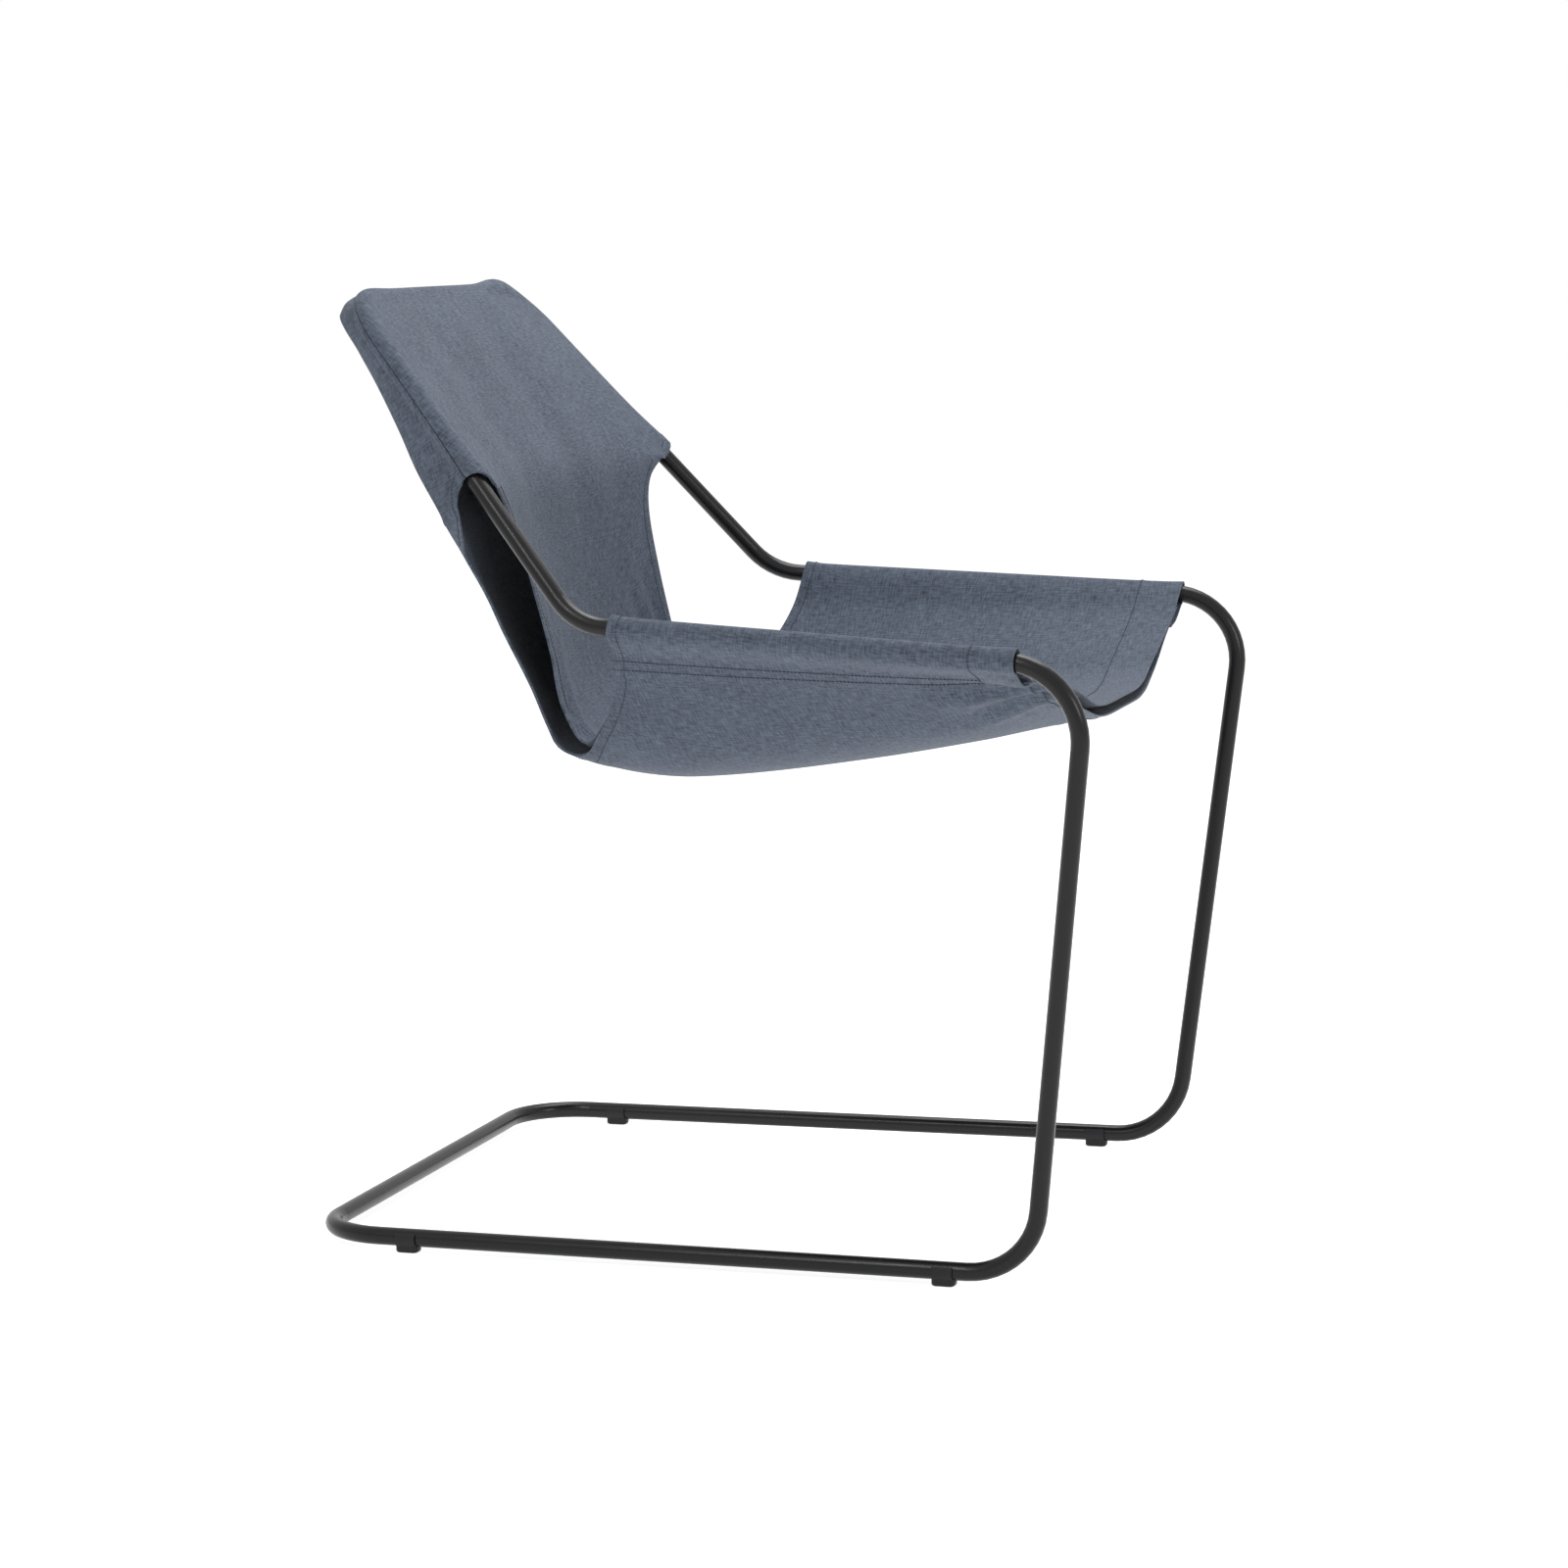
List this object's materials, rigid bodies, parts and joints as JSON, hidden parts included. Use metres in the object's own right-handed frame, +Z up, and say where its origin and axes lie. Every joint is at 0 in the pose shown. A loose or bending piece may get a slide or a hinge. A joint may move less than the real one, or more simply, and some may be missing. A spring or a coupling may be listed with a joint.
{
  "type": "sling armchair",
  "caption": "Cantilever sling armchair: a double-layer canvas cover hung in a continuous bent steel bar that runs from floor rails through legs and arms into the back, on clip-on glides.",
  "frame": {"origin": "on the floor, under the middle of the chair's overall box", "axes": "+Z up, the sitter faces -Y, +X to the sitter's left"},
  "size_m": [0.7074, 0.7296, 0.8453],
  "materials": {
    "bar": "satin black powder coat",
    "weld": "satin black powder coat over ground weld",
    "glide": "moulded black",
    "canvas": "heathered blue-grey canvas",
    "tape": "dark woven closure tape"
  },
  "bodies": {
    "root": {"frame_bar": "bar", "closing_weld": "weld", "glide_front_left": "glide", "glide_front_right": "glide", "glide_rear_left": "glide", "glide_rear_right": "glide", "seat_panel": "canvas", "under_panel": "canvas", "back_panel": "canvas", "rear_panel": "canvas", "pocket_edge": "canvas", "arm_sleeve_left": "canvas", "arm_sleeve_right": "canvas", "hook_tape_left": "tape", "hook_tape_right": "tape", "loop_tape_left": "tape", "loop_tape_right": "tape"}
  },
  "joints": []
}
